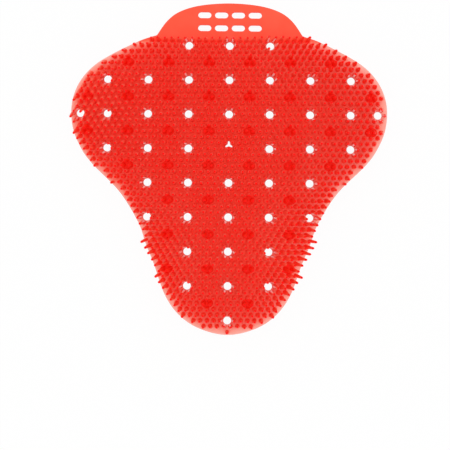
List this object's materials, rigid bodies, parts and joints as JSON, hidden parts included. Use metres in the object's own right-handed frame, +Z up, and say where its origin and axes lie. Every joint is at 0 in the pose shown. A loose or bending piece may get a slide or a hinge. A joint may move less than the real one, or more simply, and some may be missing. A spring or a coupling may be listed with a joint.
{
  "type": "urinal deodorizer screen",
  "caption": "Soft one-piece urinal screen: flat perforated plate with tapered bristles on top, domed feet beneath and a smooth grip tab.",
  "frame": {"origin": "on the floor under the middle of the plate's outline box, level with the feet's lowest points", "axes": "+Y towards the grip tab, along the longest side; +Z up, along the bristles; +X across the two lobes"},
  "size_m": [0.18, 0.189, 0.0223],
  "materials": {
    "soft_red": "translucent soft plastic, satin"
  },
  "bodies": {
    "root": {"screen": "soft_red"}
  },
  "joints": []
}
